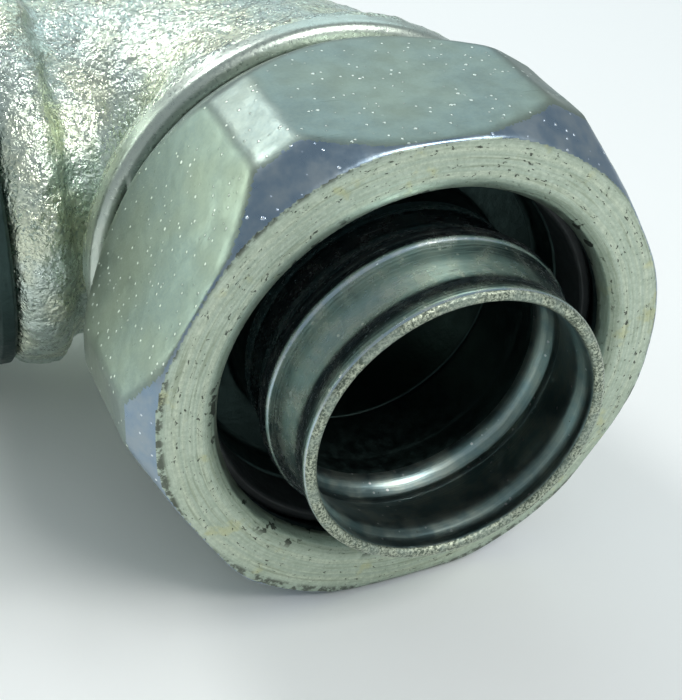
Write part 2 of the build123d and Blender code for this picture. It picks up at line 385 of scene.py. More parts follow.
class Recipe:
    """One material, built from linked shader nodes. Its coordinates are millimetres on the piece."""

    def __init__(self, name):
        self.material = bpy.data.materials.new(name)
        self.material.use_nodes = True
        self.tree = self.material.node_tree
        self.shader = self.tree.nodes["Principled BSDF"]
        coordinates = self.add("ShaderNodeTexCoord").outputs["Object"]
        scaled = self.add("ShaderNodeVectorMath", {0: coordinates, "Scale": 1 / MM}, operation="SCALE")
        self.place = scaled.outputs[0]

    def add(self, kind, inputs=None, **settings):
        """New node with its settings; inputs are values or other nodes' outputs."""
        node = self.tree.nodes.new(kind)
        for key, value in settings.items():
            setattr(node, key, value)
        for key, value in (inputs or {}).items():
            if isinstance(value, bpy.types.NodeSocket):
                self.tree.links.new(value, node.inputs[key])
            else:
                node.inputs[key].default_value = value
        return node

    def noise(self, size, detail=3.0, roughness=0.55, distortion=0.0, vector=None):
        """Noise between 0 and 1 whose features are about size millimetres."""
        inputs = {"Vector": vector or self.place, "Scale": 1 / size, "Detail": detail,
                  "Roughness": roughness, "Distortion": distortion}
        return self.add("ShaderNodeTexNoise", inputs).outputs[0]

    def line_noise(self, value, size, detail=3.0):
        """Noise along one number, for turning lines."""
        return self.add("ShaderNodeTexNoise", {"W": value, "Scale": 1 / size, "Detail": detail},
                        noise_dimensions="1D").outputs[0]

    def cells(self, size, vector=None, output="Distance"):
        """Scattered cells about size millimetres across."""
        node = self.add("ShaderNodeTexVoronoi", {"Vector": vector or self.place, "Scale": 1 / size})
        return node.outputs[output]

    def span(self, value, low, high, to_low=0.0, to_high=1.0):
        """Eased change from to_low to to_high while value goes from low to high."""
        inputs = {"Value": value, "From Min": low, "From Max": high, "To Min": to_low, "To Max": to_high}
        return self.add("ShaderNodeMapRange", inputs, interpolation_type="SMOOTHSTEP").outputs[0]

    def sum(self, a, b, operation="ADD"):
        """One operation on two numbers."""
        return self.add("ShaderNodeMath", {0: a, 1: b}, operation=operation).outputs[0]

    def mix(self, factor, a, b):
        """Colour a where factor is 0, and b where it is 1."""
        node = self.add("ShaderNodeMix", {"Factor": factor}, data_type="RGBA")
        for socket, value in ((node.inputs[6], a), (node.inputs[7], b)):
            if isinstance(value, bpy.types.NodeSocket):
                self.tree.links.new(value, socket)
            else:
                socket.default_value = (*value, 1.0)
        return node.outputs[2]

    def tones(self, factor, base, low, high):
        """The base colour times low where factor is 0, and times high where it is 1."""
        return self.mix(factor, tinted(base, *low), tinted(base, *high))

    def bump(self, height, depth, normal=None):
        """Relief depth millimetres deep."""
        inputs = {"Height": height, "Strength": 1.0, "Distance": depth * MM}
        if normal:
            inputs["Normal"] = normal
        return self.add("ShaderNodeBump", inputs).outputs[0]

    def moved(self, shift):
        """Coordinates shifted along X."""
        return self.add("ShaderNodeVectorMath", {0: self.place, 1: (shift, 0, 0)}, operation="ADD").outputs[0]

    def gland_radius(self):
        """Distance from the conduit axis, in millimetres, and the station along it."""
        moved = self.moved(-GLAND_X)
        flat = self.add("ShaderNodeVectorMath", {0: moved, 1: (1, 0, 1)}, operation="MULTIPLY").outputs[0]
        radius = self.add("ShaderNodeVectorMath", {0: flat}, operation="LENGTH").outputs["Value"]
        station = self.add("ShaderNodeSeparateXYZ", {0: self.place}).outputs[1]
        return radius, self.sum(station, -1.0, "MULTIPLY")

    def gland_sweep(self, squeeze):
        """Coordinates that run round the conduit axis, squeezed along the run so that marks come out long."""
        radius, station = self.gland_radius()
        parts = self.add("ShaderNodeSeparateXYZ", {0: self.place}).outputs
        angle = self.sum(parts[2], self.sum(parts[0], -GLAND_X), "ARCTAN2")
        run = self.sum(self.sum(angle, 20.0, "MULTIPLY"), squeeze, "MULTIPLY")
        return self.add("ShaderNodeCombineXYZ", {0: radius, 1: run, 2: station}).outputs[0]

    def done(self, colour, roughness, normal, metallic=1.0):
        """Join the finished colour, roughness and relief to the shader."""
        self.shader.inputs["Metallic"].default_value = metallic
        for name, value in (("Base Color", colour), ("Roughness", roughness), ("Normal", normal)):
            if isinstance(value, bpy.types.NodeSocket):
                self.tree.links.new(value, self.shader.inputs[name])
            else:
                self.shader.inputs[name].default_value = value
        return self.material


def tinted(colour, red, green, blue):
    """A colour with each channel scaled."""
    return (colour[0] * red, colour[1] * green, colour[2] * blue)


def once(make, name=None):
    """The material that make builds, built when it is first wanted. It takes make's name, or the one given."""
    name = name or make.__name__
    return bpy.data.materials.get(name) or make(name)


def sand_cast_zinc(name):
    """Plated sand casting: coarse sparkling grain, cloudy tint, darker hollows."""
    base = finishes().casting
    recipe = Recipe(name)
    cloud = recipe.noise(6.0, 3.0)
    warm = recipe.tones(recipe.span(cloud, 0.38, 0.64), base, (0.92, 0.98, 1.02), (1.05, 1.04, 0.93))
    grain = recipe.noise(0.42, 2.0, 0.6, 0.4)
    coarse = recipe.noise(1.1, 2.0, 0.6)
    tint = recipe.mix(recipe.span(grain, 0.34, 0.5), tinted(base, 0.66, 0.72, 0.70), warm)
    relief = recipe.bump(coarse, 0.20)
    relief = recipe.bump(grain, 0.20, relief)
    rough = recipe.span(recipe.noise(0.9, 2.0), 0.3, 0.7, 0.20, 0.36)
    return recipe.done(tint, rough, relief)


def speckled(recipe, tint, base, size, share, spot, seed_shift):
    """Adds small bright grains to a tint: cells of a size, of which a share shows."""
    moved = recipe.moved(seed_shift)
    chosen = recipe.span(recipe.cells(size, vector=moved, output="Color"), 1 - share, 1.02 - share)
    grain = recipe.sum(recipe.span(recipe.cells(size, vector=moved), spot, 0.5 * spot), chosen, "MULTIPLY")
    return grain, recipe.mix(grain, tint, tinted(base, 3.2, 2.9, 3.0))


def nut_flat_zinc(name):
    """Plated flats of the nut: satin, with small bright grains, fine scratches and a soft cloud."""
    base = finishes().nut_flat
    wear = finishes().wear
    recipe = Recipe(name)
    cloud = recipe.noise(9.0, 4.0)
    tint = recipe.tones(recipe.span(cloud, 0.35, 0.7), base, (0.92, 0.98, 1.05), (1.1, 1.08, 1.0))
    fine = recipe.noise(0.3, 3.0, 0.6)
    tint = recipe.mix(recipe.span(fine, 0.35, 0.65, 0.0, 0.3), tint, tinted(base, 1.25, 1.24, 1.2))
    small, tint = speckled(recipe, tint, base, 0.62, 0.42, 0.24, 0.0)
    large, tint = speckled(recipe, tint, base, 1.5, 0.35, 0.13, 40.0)
    stretched = recipe.add("ShaderNodeMapping", {"Vector": recipe.place, "Rotation": (0.3, 0.5, 0.9),
                                                 "Scale": (0.12, 2.2, 1.4)}).outputs[0]
    scratch = recipe.span(recipe.noise(0.8, 2.0, 0.5, 0.0, stretched), 0.71, 0.75)
    tint = recipe.mix(recipe.sum(scratch, 0.5 * wear, "MULTIPLY"), tint, tinted(base, 0.5, 0.52, 0.5))
    bruise = recipe.span(recipe.noise(2.6, 4.0, 0.7, 0.8), 0.68, 0.74)
    tint = recipe.mix(recipe.sum(bruise, 0.25 * wear, "MULTIPLY"), tint, tinted(base, 0.6, 0.62, 0.6))
    relief = recipe.bump(recipe.noise(1.3, 3.0), 0.012)
    relief = recipe.bump(fine, 0.012, relief)
    relief = recipe.bump(recipe.sum(small, large), 0.06, relief)
    rough = recipe.span(recipe.noise(2.2, 3.0), 0.3, 0.7, 0.36, 0.48)
    return recipe.done(tint, rough, relief)


def chamfer_zinc(name):
    """Turned slopes at the nut's corners: smoother than the flats, and bluer, the blue a painted reflection of
    blue surroundings.
    """
    base = finishes().chamfer
    recipe = Recipe(name)
    cloud = recipe.noise(2.4, 4.0, 0.6)
    tint = recipe.tones(recipe.span(cloud, 0.35, 0.7), base, (0.85, 0.92, 1.0), (1.15, 1.1, 1.05))
    grain, tint = speckled(recipe, tint, base, 0.7, 0.3, 0.22, 80.0)
    relief = recipe.bump(recipe.noise(0.5, 3.0), 0.015)
    relief = recipe.bump(grain, 0.04, relief)
    return recipe.done(tint, recipe.span(cloud, 0.3, 0.7, 0.26, 0.38), relief)


def turned_zinc(name):
    """Turned front face: tool lines, black pits in rings, dull yellow stains, chips at the lip, painted shade
    towards the lip.
    """
    base = finishes().turned
    wear = finishes().wear
    recipe = Recipe(name)
    radius = recipe.gland_radius()[0]
    wander = recipe.sum(radius, recipe.span(recipe.noise(5.0, 2.0), 0.0, 1.0, -0.15, 0.15))
    lines = recipe.line_noise(wander, 0.2, 3.0)
    band = recipe.line_noise(wander, 1.0, 2.0)
    tint = recipe.tones(recipe.span(band, 0.35, 0.65), base, (0.82, 0.88, 0.88), (1.05, 1.05, 1.0))
    mottle = recipe.noise(0.35, 3.0, 0.7)
    tint = recipe.mix(recipe.span(mottle, 0.35, 0.65, 0.0, 0.5), tint, tinted(base, 0.62, 0.68, 0.62))
    tint = recipe.mix(recipe.span(lines, 0.38, 0.6, 0.35, 0.0), tint, tinted(base, 0.62, 0.67, 0.64))
    stain = recipe.span(recipe.noise(3.4, 4.0, 0.6), 0.60, 0.70, 0.0, 0.5 * wear)
    tint = recipe.mix(stain, tint, tinted(base, 0.95, 0.86, 0.52))
    ring = recipe.span(band, 0.42, 0.62)
    sweep = recipe.gland_sweep(0.5)
    blot = recipe.sum(recipe.noise(0.30, 2.0, 0.7, 0.5, sweep), recipe.sum(ring, 0.07, "MULTIPLY"))
    pit = recipe.span(blot, 0.69, 0.73, 0.0, 0.85 * wear)
    long_marks = recipe.noise(0.34, 3.0, 0.6, 0.2, recipe.gland_sweep(0.05))
    streak = recipe.span(long_marks, 0.54, 0.66, 0.0, 0.45 * wear)
    tint = recipe.mix(streak, tint, tinted(base, 0.42, 0.45, 0.36))
    tint = recipe.mix(pit, tint, (0.05, 0.055, 0.045))
    # Painted shade: the face darkens towards the lip, where it curves into the mouth.
    lip = recipe.span(radius, 19.1, 18.2)
    tint = recipe.mix(recipe.sum(lip, 0.55, "MULTIPLY"), tint, tinted(base, 0.42, 0.46, 0.40))
    chip = recipe.sum(lip, recipe.span(recipe.noise(1.6, 3.0, 0.6), 0.62, 0.65), "MULTIPLY")
    tint = recipe.mix(recipe.sum(chip, 0.9 * wear, "MULTIPLY"), tint, (0.04, 0.045, 0.035))
    broken = recipe.span(recipe.noise(0.9, 3.0, 0.7), 0.42, 0.56)
    border = recipe.sum(recipe.span(radius, 22.0, 22.4), broken, "MULTIPLY")
    tint = recipe.mix(recipe.sum(border, 0.8 * wear, "MULTIPLY"), tint, (0.07, 0.075, 0.06))
    relief = recipe.bump(lines, 0.03)
    relief = recipe.bump(mottle, 0.04, relief)
    relief = recipe.bump(recipe.sum(1.0, pit, "SUBTRACT"), 0.10, relief)
    rough = recipe.span(recipe.noise(1.4, 3.0), 0.3, 0.7, 0.38, 0.52)
    return recipe.done(tint, rough, relief)


def dull_bore(name):
    """Painted shade: a dark, dull plate colour standing in for the shade inside the mouth and the raceway."""
    base = finishes().shadow
    recipe = Recipe(name)
    tint = recipe.tones(recipe.noise(2.0, 3.0), base, (0.6, 0.65, 0.65), (1.4, 1.4, 1.35))
    relief = recipe.bump(recipe.noise(0.6, 3.0), 0.06)
    return recipe.done(tint, recipe.span(recipe.noise(1.0), 0.3, 0.7, 0.4, 0.6), relief)


def rolled_sheet(name, inner=False):
    """Bright plated sheet: lines that run round it, fine scuffs, small dull freckles. With inner, the darker
    inside colour is painted shade.
    """
    base = finishes().sheet_inside if inner else finishes().sheet
    wear = finishes().wear
    recipe = Recipe(name)
    station = recipe.gland_radius()[1]
    run = recipe.sum(station, recipe.span(recipe.noise(6.0, 2.0), 0.0, 1.0, -0.3, 0.3))
    lines = recipe.line_noise(run, 0.16, 3.0)
    cloud = recipe.noise(2.2, 4.0, 0.65)
    tint = recipe.tones(recipe.span(cloud, 0.35, 0.7), base, (0.7, 0.82, 0.88), (1.12, 1.08, 1.0))
    tint = recipe.mix(recipe.span(lines, 0.3, 0.7, 0.0, 0.35), tint, tinted(base, 0.5, 0.58, 0.6))
    freckle = recipe.span(recipe.noise(0.30, 3.0, 0.7, 0.5), 0.70, 0.74, 0.0, 0.7 * wear)
    tint = recipe.mix(freckle, tint, tinted(base, 0.25, 0.25, 0.2))
    tint = speckled(recipe, tint, base, 0.8, 0.35, 0.2, 20.0)[1]
    around = recipe.add("ShaderNodeMapping", {"Vector": recipe.place, "Rotation": (0.2, 0.9, 0.4),
                                              "Scale": (0.15, 1.9, 1.1)}).outputs[0]
    scuff = recipe.span(recipe.noise(0.5, 3.0, 0.6, 0.3, around), 0.58, 0.72)
    relief = recipe.bump(lines, 0.008)
    relief = recipe.bump(recipe.noise(1.2, 2.0), 0.012, relief)
    relief = recipe.bump(freckle, -0.03, relief)
    satin = 0.28 if inner else 0.19
    rough = recipe.sum(recipe.span(cloud, 0.3, 0.7, satin, satin + 0.1), recipe.sum(scuff, 0.14, "MULTIPLY"))
    return recipe.done(tint, rough, relief)


def cut_edge(name):
    """Cut end of the sheet: rough, speckled."""
    base = finishes().bright
    recipe = Recipe(name)
    speckle = recipe.noise(0.24, 3.0, 0.75)
    patch = recipe.noise(1.8, 2.0)
    tint = recipe.tones(recipe.span(speckle, 0.4, 0.62), base, (0.2, 0.23, 0.19), (0.95, 0.95, 0.8))
    tint = recipe.mix(recipe.span(patch, 0.45, 0.6, 0.0, 0.5), tint, tinted(base, 0.5, 0.56, 0.52))
    relief = recipe.bump(speckle, 0.08)
    return recipe.done(tint, recipe.span(speckle, 0.3, 0.7, 0.5, 0.28), relief)


def machined_zinc(name):
    """Machined collar edge and threads: bright, with fine lines."""
    base = finishes().bright
    recipe = Recipe(name)
    fine = recipe.noise(0.3, 3.0, 0.6)
    tint = recipe.tones(recipe.noise(2.5, 3.0), base, (0.78, 0.84, 0.82), (1.05, 1.05, 0.97))
    relief = recipe.bump(fine, 0.03)
    return recipe.done(tint, recipe.span(fine, 0.3, 0.7, 0.26, 0.4), relief)


def moulded_plastic(name):
    """Dark nylon with a soft moulded grain."""
    base = finishes().plastic
    recipe = Recipe(name)
    tint = recipe.tones(recipe.noise(1.6, 3.0), base, (0.7, 0.7, 0.7), (1.6, 1.6, 1.6))
    relief = recipe.bump(recipe.noise(0.25, 2.0), 0.02)
    return recipe.done(tint, recipe.span(recipe.noise(0.8), 0.3, 0.7, 0.5, 0.65), relief, metallic=0.0)


def gasket_rubber(name):
    """Matt synthetic rubber."""
    base = finishes().rubber
    recipe = Recipe(name)
    tint = recipe.tones(recipe.noise(1.1, 3.0), base, (0.7, 0.7, 0.7), (1.9, 1.9, 1.9))
    relief = recipe.bump(recipe.noise(0.18, 2.0), 0.03)
    return recipe.done(tint, recipe.span(recipe.noise(0.5), 0.3, 0.7, 0.6, 0.8), relief, metallic=0.0)


def studio_paper(name):
    """Pale paper under the fitting."""
    recipe = Recipe(name)
    tint = recipe.mix(recipe.noise(60.0, 2.0), (0.93, 0.94, 0.93), (0.95, 0.955, 0.95))
    return recipe.done(tint, 0.9, recipe.bump(recipe.noise(1.5, 2.0), 0.02), metallic=0.0)


# ---------------------------------------------------------------- the casting

def elbow_line(points, bend):
    """Distance from the elbow's centre line and each leg's axis, and the share of the way to the gland."""
    x, y, z = points[..., 0], points[..., 1], points[..., 2]
    centre_x, centre_y = GLAND_X - bend, -bend
    gland = np.hypot(x - GLAND_X, z)
    hub = np.hypot(y, z)
    arc = np.hypot(np.hypot(x - centre_x, y - centre_y) - bend, z)
    on_arc = (x > centre_x) & (y > centre_y)
    straight = np.where(x <= centre_x, np.where(y <= centre_y, np.minimum(gland, hub), hub), gland)
    turned = np.clip(np.arctan2(x - centre_x, y - centre_y), 0, math.pi / 2) / (math.pi / 2)
    share = np.where(on_arc, turned, np.where(x <= centre_x, 0.0, 1.0))
    return np.where(on_arc, arc, straight), gland, hub, share


def raceway_radius(share, station):
    """Radius of the wire passage: it widens round the bend, and narrows again behind the gland."""
    s = sizes()
    bend = s["raceway_radius"] + (s["chamber_radius"] - s["raceway_radius"]) * share
    return np.where(station > NUT_BACK - COLLAR_THICK - COLLAR_GAP, s["raceway_radius"], bend)


def casting_field(points):
    """Distance to the casting: elbow, stop collar and hub flange run together, less the raceway."""
    s = sizes()
    station, depth = -points[..., 1], -points[..., 0]
    line, gland, hub, share = elbow_line(points, s["bend_radius"])
    collar_front = NUT_BACK - COLLAR_GAP
    seam = 0.22 * np.exp(-(points[..., 2] / 0.45) ** 2)
    swell = s["tube_radius"] + (s["shoulder_radius"] - s["tube_radius"]) * share
    tube = soft_max(line - swell - seam, station - collar_front + 0.3, 0.3)
    tube = soft_max(tube, depth + 0.3, 0.3)
    collar = disc(gland, station, s["collar_radius"], collar_front - COLLAR_THICK, collar_front, 0.9)
    taper = np.clip(depth + s["flange_thickness"], 0, 6) * 0.13
    flange = soft_max(hub + taper - s["flange_radius"], -depth - s["flange_thickness"], 2.8)
    flange = soft_max(flange, depth, 2.2)
    solid = soft_min(tube, collar, 1.3)
    solid = soft_min(solid, flange, 1.8)
    rough = 0.03 * ripple(points, 1.3, 11) + 0.05 * ripple(points, 4.5, 12)
    as_cast = np.clip((collar_front - 1.9 - station) / 0.5, 0, 1) * np.clip((-0.2 - depth) / 0.4, 0, 1)
    solid = solid + rough * as_cast
    return soft_max(solid, raceway_radius(share, station) - line, 0.5)


def thread_tube(place, start, end, crest, pitch, turn_sign, bore, segments=240):
    """Tube with a helical thread outside. bore is a list of (radius, place, fillet) corners, end first."""
    root = crest - 0.6 * pitch
    rows = np.arange(start, end + 1e-6, pitch / 12)
    outside = np.stack([np.full_like(rows, root), rows], 1)
    inside = rounded([*bore, (root, end, 0.0), (root, start, 0.0)], 5, 1.2)
    outline = np.concatenate([outside, inside[inside[:, 0] < root - 1e-6]])

    def shape(radius, angle, along):
        on_thread = radius > root - 1e-6
        phase = (along / pitch + turn_sign * angle / (2 * math.pi)) % 1.0
        ridge = np.clip((1 - np.abs(2 * phase - 1) - 0.16) / 0.62, 0, 1) ** 0.9
        fade = np.clip((along - start) / (0.8 * pitch), 0, 1)
        lead = crest + 0.05 - np.clip(along - (end - 1.3), 0, 2) * 0.95
        threaded = np.minimum(root + (crest - root) * ridge * fade, np.maximum(lead, root - 0.2))
        return np.where(on_thread, threaded, radius), along

    return turn(outline, place, segments, shape)


class CONDUIT_OT_casting(bpy.types.Operator):
    """Build the cast elbow with its collar, flange and two threads"""

    bl_idname = "conduit.casting"
    bl_label = "Cast elbow"

    def execute(self, context):
        s = sizes()
        cast, machined = once(sand_cast_zinc), once(machined_zinc)
        bore = once(dull_bore)
        reach_out = s["collar_radius"] + 0.5
        low = (-0.3, -(NUT_BACK - 0.4), -reach_out)
        high = (GLAND_X + reach_out, s["flange_radius"] + 0.5, reach_out)
        points, quads = surface_net(casting_field, low, high, 0.38)

        def finish_of(centre, normal):
            line, _, _, share = elbow_line(centre, s["bend_radius"])
            # The raceway's faces take the painted shade colour (index 2), for the shade down the wire passage.
            hollow = line < raceway_radius(share, -centre[:, 1]) + 0.4
            turned_edge = -centre[:, 1] > NUT_BACK - COLLAR_GAP - 2.0
            return np.where(hollow, 2, np.where(turned_edge, 1, 0))

        make_piece("elbow_casting", points, quads, "fitting_body", ["elbow_body"],
                   [cast, machined, bore], finish_of)
        hub_bore = [(RACEWAY_END, -0.4, 0.0), (RACEWAY_END, 12.0, 0.0), (LINER_SEAT, 12.0, 0.0),
                    (LINER_SEAT, HUB_END, 0.0)]
        points, quads = thread_tube(to_hub, -0.4, HUB_END, s["hub_crest"], s["hub_pitch"], 1, hub_bore[::-1])
        make_piece("hub_thread", points, quads, "fitting_body", [], [machined])
        cup = [(RACEWAY_END, NUT_BACK - 1.2, 0.0), (RACEWAY_END, CUP_FLOOR, 0.3), (CUP_WALL, CUP_FLOOR, 0.0),
               (CUP_WALL, SPIGOT_END, 0.3)]
        points, quads = thread_tube(to_gland, NUT_BACK - 1.2, SPIGOT_END, s["gland_crest"], s["gland_pitch"],
                                    -1, cup[::-1])

        # Faces well inside the thread, in the spigot's bore and cup, take the painted shade colour.
        def bore_of(centre, normal):
            return round_gland(centre, normal)[0] < s["gland_crest"] - 1.6

        make_piece("gland_spigot", points, quads, "fitting_body", [], [machined, bore], bore_of)
        return {"FINISHED"}


# ---------------------------------------------------------------- the gland nut

def nut_field(points):
    """Distance to the nut: drafted hexagon with narrow corner flats, cones, and its stepped bore."""
    s = sizes()
    x, z = points[..., 0] - GLAND_X, points[..., 2]
    station = -points[..., 1]
    radius = np.hypot(x, z)
    draft = (NUT_FRONT - station) * math.tan(NUT_DRAFT)
    flats = np.full(x.shape, -1e3)
    for side in range(6):
        flat, corner = math.radians(90 + 60 * side), math.radians(60 * side)
        flats = np.maximum(flats, x * math.cos(flat) + z * math.sin(flat) - s["across_flats"] / 2 - draft)
        narrow = x * math.cos(corner) + z * math.sin(corner) - s["corner_radius"] - draft
        flats = soft_max(flats, narrow, 0.4)
    off_centre = np.hypot(x + CHAMFER_SHIFT[0], z + CHAMFER_SHIFT[1])
    chamfer = cone(off_centre - s["face_radius"], station - NUT_FRONT, *CHAMFER_SLOPE)
    back_cone = cone(radius - s["skirt_radius"], NUT_BACK - station, *BACK_CONE_SLOPE)
    solid = soft_max(flats, chamfer, 0.6)
    solid = soft_max(solid, back_cone, 0.3)
    solid = soft_max(solid, station - NUT_FRONT, 0.3)
    solid = soft_max(solid, NUT_BACK - station, 0.3)
    mouth = s["mouth_radius"]
    stations = [NUT_BACK - 1, NUT_BACK + 0.7, 37.9, NUT_FRONT - 3.2, NUT_FRONT - 2.5, NUT_FRONT - 1.5,
                NUT_FRONT - 0.6, NUT_FRONT, NUT_FRONT + 1]
    radii = [20.9, 20.05, 20.05, mouth + 0.75, mouth + 0.05, mouth, mouth + 0.45, mouth + 1.25, mouth + 3.4]
    bore = (np.interp(station, stations, radii) - radius) * 0.85
    ground = 0.012 * ripple(points, 7.0, 21) + 0.004 * ripple(points, 1.6, 22)
    return soft_max(solid + ground, bore, 0.4)


class CONDUIT_OT_gland_nut(bpy.types.Operator):
    """Build the hexagon gland nut"""

    bl_idname = "conduit.gland_nut"
    bl_label = "Gland nut"

    def execute(self, context):
        s = sizes()
        finishes_used = [once(nut_flat_zinc), once(turned_zinc),
                         once(dull_bore), once(chamfer_zinc)]
        half = s["corner_radius"] + 0.6
        points, quads = surface_net(nut_field, (GLAND_X - half, -NUT_FRONT, -half),
                                    (GLAND_X + half, -NUT_BACK, half), 0.3)
        points[:, 1] = np.clip(points[:, 1], -NUT_FRONT, -NUT_BACK)

        def finish_of(centre, normal):
            radius, station, outward = round_gland(centre, normal)
            front = (station > NUT_FRONT - 0.4) & (-normal[:, 1] > 0.85)
            lip = (station > NUT_FRONT - 1.7) & (radius < 19.5)
            # The bore behind the lip takes the painted shade colour (index 2).
            bore = (radius < 20.9) & (station < NUT_FRONT - 1.7) & (outward < 0.1)
            # The corner slopes take the bluer colour, whose blue is a painted reflection.
            slope = (-normal[:, 1] > 0.35) & (radius > 21.5)
            return np.where(bore, 2, np.where(front | lip, 1, np.where(slope, 3, 0)))

        make_piece("gland_nut_hexagon", points, quads, "gland_nut", ["gland_nut"], finishes_used,
                   finish_of)
        return {"FINISHED"}


# ---------------------------------------------------------------- turned and rolled pieces

class CONDUIT_OT_ferrule(bpy.types.Operator):
    """Roll the ferrule: curled rim, neck, two beads, and the cup at its root"""

    bl_idname = "conduit.ferrule"
    bl_label = "Ferrule"

    def execute(self, context):
        s = sizes()
        sheet = s["sheet"]
        floor = CUP_BACK + sheet / 2
        skirt = SKIRT_RADIUS - sheet / 2
        sleeve = [(12.58, 0.5), (12.62, 1.1), (12.56, 1.7), (12.40, 2.2), (12.28, 2.7), (12.30, 3.3),
                  (12.48, 4.2), (12.74, 5.2), (13.00, 6.2), (13.24, 6.9), (13.46, 7.3), (13.41, 7.8),
                  (13.48, 8.3), (13.12, 9.1), (12.70, 9.8), (12.52, 10.8), (12.62, 11.8), (12.70, 12.6),
                  (12.60, 13.4), (12.58, 16.0)]
        cup = [(12.6, floor + 1.1), (12.9, floor + 0.3), (13.7, floor), (16.2, floor), (16.9, floor + 0.15),
               (skirt, floor + 0.8), (skirt, 35.6), (skirt, SKIRT_TOP)]
        line = smooth_line([(radius, RIM_FRONT - back) for radius, back in sleeve] + cup)
        along = np.gradient(line, axis=0)
        along /= np.linalg.norm(along, axis=1, keepdims=True)
        side = np.stack([-along[:, 1], along[:, 0]], 1)
        thick = sheet / 2 + 0.08 * np.exp(-(np.arange(len(line)) / 5.0) ** 2)
        round_end = np.linspace(-math.pi / 2, math.pi / 2, 9)[1:-1, None]
        cap = line[0] + thick[0] * (np.sin(round_end) * side[0] - np.cos(round_end) * along[0])
        outline = np.concatenate([cap, line + side * thick[:, None], (line - side * thick[:, None])[::-1]])

        def shape(radius, angle, along):
            points = np.stack([radius * np.cos(angle), radius * np.sin(angle), along], -1)
            return radius + 0.028 * ripple(points, 14.0, 31), along + 0.02 * ripple(points, 11.0, 32)

        points, quads = turn(outline, to_gland, 320, shape)
        points[:, 1] = np.maximum(points[:, 1], -RIM_FRONT)

        def finish_of(centre, normal):
            radius, station, outward = round_gland(centre, normal)
            rim = (station > RIM_FRONT - 0.9) & (-normal[:, 1] > 0.35)
            # The cup at the root and the deep inside of the sleeve take the painted shade colour (index 3).
            cup = (station < 38.6) & ((outward > 0) | (radius > 13.3))
            deep = (station < RIM_FRONT - 10.4) & (outward < 0)
            # The rest of the inner faces take the darker inside sheet colour, which is painted shade.
            inside = np.where((outward < 0) & (radius < 13.1), 1, 0)
            return np.where(rim, 2, np.where(cup | deep, 3, inside))

        shaded_inside_sheet = once(lambda name: rolled_sheet(name, True), "rolled_sheet_inside")
        used = [once(rolled_sheet), shaded_inside_sheet, once(cut_edge), once(dull_bore)]
        make_piece("ferrule_sleeve", points, quads, "ferrule", ["ferrule"], used, finish_of)
        return {"FINISHED"}


class CONDUIT_OT_sealing_ring(bpy.types.Operator):
    """Build the split tapered sealing ring"""

    bl_idname = "conduit.sealing_ring"
    bl_label = "Sealing ring"

    def execute(self, context):
        mouth = sizes()["mouth_radius"]
        corners = [(16.95, RING_BACK, 0.2), (19.68, RING_BACK, 0.25), (19.68, RING_BACK + 0.7, 0.3),
                   (mouth + 0.66, RING_FRONT - 0.25, 0.3), (mouth + 0.3, RING_FRONT, 0.2), (17.1, RING_FRONT, 0.2),
                   (16.95, RING_FRONT - 0.3, 0.15)]
        gap_centre, gap_half = math.radians(83), math.radians(4.5)
        spans = (gap_centre + gap_half, gap_centre + 2 * math.pi - gap_half)
        outline = rounded(corners, 5, 0.6)
        points, quads = turn(outline, to_gland, 240, None, spans)
        caps = self.end_caps(outline, 240, len(points))
        centres = points.reshape(len(outline), 240, 3)[:, [0, -1]].mean(0)
        points = np.concatenate([points, centres])
        make_piece("sealing_ring_moulding", points, np.concatenate([quads, caps]), "sealing_ring",
                   ["sealing_ring"], [once(moulded_plastic)])
        return {"FINISHED"}

    def end_caps(self, outline, columns, centre):
        """Quads that close both cut ends, two edges of the outline at a time."""
        rows = len(outline) - len(outline) % 2
        quads = []
        for end, column in enumerate((0, columns - 1)):
            ring = np.arange(len(outline)) * columns + column
            for i in range(0, rows, 2):
                fan = [centre + end, ring[i], ring[i + 1], ring[(i + 2) % len(outline)]]
                quads.append(fan[::-1] if end else fan)
        return np.array(quads)


class CONDUIT_OT_throat_liner(bpy.types.Operator):
    """Build the insulating throat"""

    bl_idname = "conduit.throat_liner"
    bl_label = "Insulating throat"

    def execute(self, context):
        end = HUB_END
        corners = [(12.3, end - 5.9, 0.3), (13.38, end - 5.9, 0.1), (13.38, end, 0.0), (14.6, end, 0.2),
                   (15.1, end + 0.5, 0.5), (15.1, end + 1.2, 0.7), (14.2, end + 1.9, 0.9), (12.9, end + 1.7, 0.9),
                   (12.3, end + 0.6, 0.6)]
        points, quads = turn(rounded(corners, 7, 0.6), to_hub, 220)
        make_piece("throat_bushing", points, quads, "fitting_body", ["throat_liner"],
                   [once(moulded_plastic)])
        return {"FINISHED"}


class CONDUIT_OT_gasket(bpy.types.Operator):
    """Build the sealing gasket and the steel ring round it"""

    bl_idname = "conduit.gasket"
    bl_label = "Gasket and retainer"

    def execute(self, context):
        back = GASKET_BACK
        corners = [(16.7, 0.02, 0.1), (18.1, 0.02, 0.1), (18.1, back - 0.25, 0.15), (17.85, back, 0.2),
                   (16.95, back, 0.2), (16.7, back - 0.25, 0.15)]
        points, quads = turn(rounded(corners, 5, 0.5), to_hub, 220)
        make_piece("gasket_ring", points, quads, "fitting_body", ["hub_gasket"],
                   [once(gasket_rubber)])
        corners = [(18.15, 0.06, 0.05), (18.7, 0.06, 0.1), (19.0, 0.35, 0.2), (19.0, back - 0.9, 0.2),
                   (18.7, back - 0.6, 0.2), (18.15, back - 0.6, 0.1)]
        points, quads = turn(rounded(corners, 5, 0.4), to_hub, 220)
        # The retainer takes the painted shade colour of the bores, for the shade under the hub flange.
        make_piece("retainer_ring", points, quads, "fitting_body", ["gasket_retainer"],
                   [once(dull_bore)])
        return {"FINISHED"}


